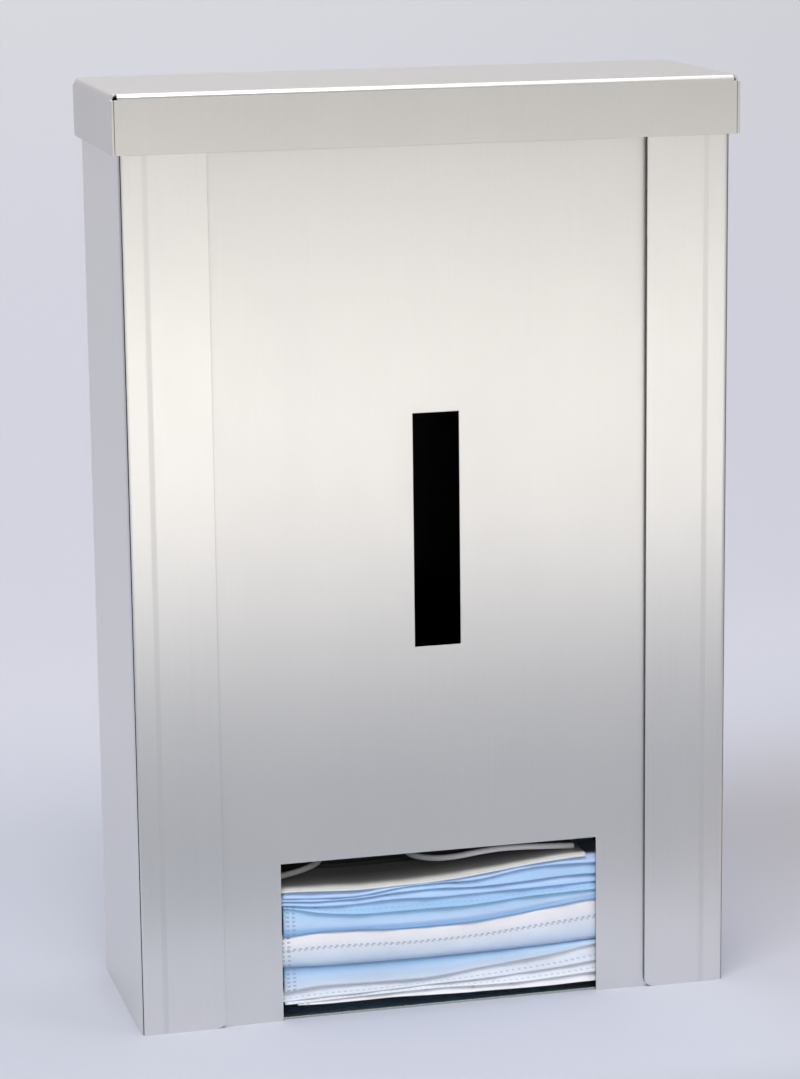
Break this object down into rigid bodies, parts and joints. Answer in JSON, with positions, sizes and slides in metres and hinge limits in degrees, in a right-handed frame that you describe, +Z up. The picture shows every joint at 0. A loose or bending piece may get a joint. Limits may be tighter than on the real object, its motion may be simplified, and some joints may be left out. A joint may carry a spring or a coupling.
{
  "type": "face mask dispenser",
  "caption": "Wall-mounted stainless steel dispenser box with a hinged lid, a level slot and a low opening for pulling out pleated face masks.",
  "frame": {"origin": "centre of the bounding box in X and Y, on the plane of the case's lower edge", "axes": "+X to the right as seen from the front, -Y out of the front, +Z up; the back at +Y goes against the wall"},
  "size_m": [0.3064, 0.109, 0.4585],
  "materials": {
    "brushed_sheet": "fine vertical brushed grain, satin",
    "hinge_steel": "plain mill finish",
    "mask_cloth": "light blue non-woven cloth, fine embossed dots",
    "ear_loop_elastic": "white knitted elastic"
  },
  "bodies": {
    "case": {"shell": "brushed_sheet", "front_panel": "brushed_sheet", "floor_plate": "brushed_sheet", "case_hinge_leaf": "hinge_steel", "hinge_pin": "hinge_steel", "mask_01": "mask_cloth", "mask_02": "mask_cloth", "mask_03": "mask_cloth", "mask_04": "mask_cloth", "mask_05": "mask_cloth", "mask_06": "mask_cloth", "mask_07": "mask_cloth", "mask_08": "mask_cloth", "mask_09": "mask_cloth", "mask_10": "mask_cloth", "mask_11": "mask_cloth", "mask_12": "mask_cloth", "mask_13": "mask_cloth", "mask_14": "mask_cloth", "mask_15": "mask_cloth", "ear_loop_right": "ear_loop_elastic", "ear_loop_left": "ear_loop_elastic"},
    "lid": {"lid": "brushed_sheet", "lid_hinge_leaf": "hinge_steel"}
  },
  "joints": [
    {"name": "lid_hinge", "type": "hinge", "parent": "case", "child": "lid", "pos_m": [0, 0.05115, 0.45515], "axis": [-1, 0, 0], "range_deg": [0, 90]}
  ]
}
